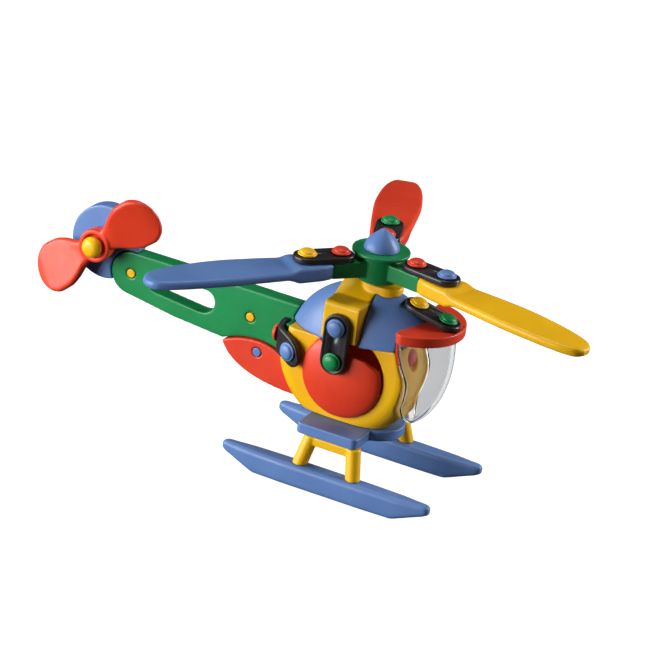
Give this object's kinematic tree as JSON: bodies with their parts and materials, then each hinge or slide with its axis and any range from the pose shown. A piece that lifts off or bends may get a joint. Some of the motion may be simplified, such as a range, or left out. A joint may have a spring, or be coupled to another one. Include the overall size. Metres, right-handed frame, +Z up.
{
  "type": "toy helicopter",
  "caption": "Toy helicopter of coloured plastic pieces joined by rubber straps and push-in buttons, with a turning main rotor and tail rotor.",
  "frame": {"origin": "bottom centre of the whole object's box, at the skids' undersides", "axes": "+X towards the nose, +Y towards the left side, +Z up"},
  "size_m": [0.2746, 0.1922, 0.1196],
  "materials": {
    "red_plastic": "satin moulded",
    "blue_plastic": "satin moulded",
    "yellow_plastic": "satin moulded",
    "green_plastic": "satin moulded",
    "black_rubber": "smooth satin",
    "clear_plastic": "clear polished"
  },
  "bodies": {
    "fuselage": {"base_plate": "blue_plastic", "belly_fairing": "red_plastic", "body_button_left": "blue_plastic", "body_button_right": "blue_plastic", "boom_button_front": "yellow_plastic", "boom_button_rear": "yellow_plastic", "bracket_button_left": "blue_plastic", "bracket_button_right": "blue_plastic", "cabin_body": "yellow_plastic", "canopy": "clear_plastic", "canopy_button": "red_plastic", "corner_strap_left": "black_rubber", "corner_strap_right": "black_rubber", "fairing_button": "blue_plastic", "fairing_strap": "black_rubber", "flange_button_left": "red_plastic", "flange_button_right": "red_plastic", "leg_frame_left": "yellow_plastic", "leg_frame_right": "yellow_plastic", "roof_button": "yellow_plastic", "roof_dome": "blue_plastic", "rotor_bracket": "yellow_plastic", "shell_button_left": "green_plastic", "shell_button_right": "green_plastic", "side_shell_left": "red_plastic", "side_shell_right": "red_plastic", "side_strap_left": "black_rubber", "side_strap_right": "black_rubber", "skid_left": "blue_plastic", "skid_right": "blue_plastic", "tail_boom": "green_plastic", "tail_fin": "blue_plastic", "tail_rotor_axle": "yellow_plastic", "tail_strap": "black_rubber", "visor": "red_plastic", "visor_button": "green_plastic", "visor_strap": "black_rubber"},
    "main_rotor": {"blade_blue": "blue_plastic", "blade_button_blue": "yellow_plastic", "blade_button_red": "green_plastic", "blade_button_yellow": "blue_plastic", "blade_red": "red_plastic", "blade_strap_blue": "black_rubber", "blade_strap_red": "black_rubber", "blade_strap_yellow": "black_rubber", "blade_yellow": "yellow_plastic", "hub_button_blue": "red_plastic", "hub_button_red": "red_plastic", "hub_button_yellow": "red_plastic", "rotor_cap": "blue_plastic", "rotor_hub": "green_plastic"},
    "tail_rotor_body": {"tail_rotor": "red_plastic"}
  },
  "joints": [
    {"name": "main_rotor_spin", "type": "hinge", "parent": "fuselage", "child": "main_rotor", "pos_m": [0.02807, -0.00846, 0.0982], "axis": [0, 0, 1], "continuous": true},
    {"name": "tail_rotor_spin", "type": "hinge", "parent": "fuselage", "child": "tail_rotor_body", "pos_m": [-0.10663, -0.02086, 0.0756], "axis": [0, -1, 0], "continuous": true}
  ]
}
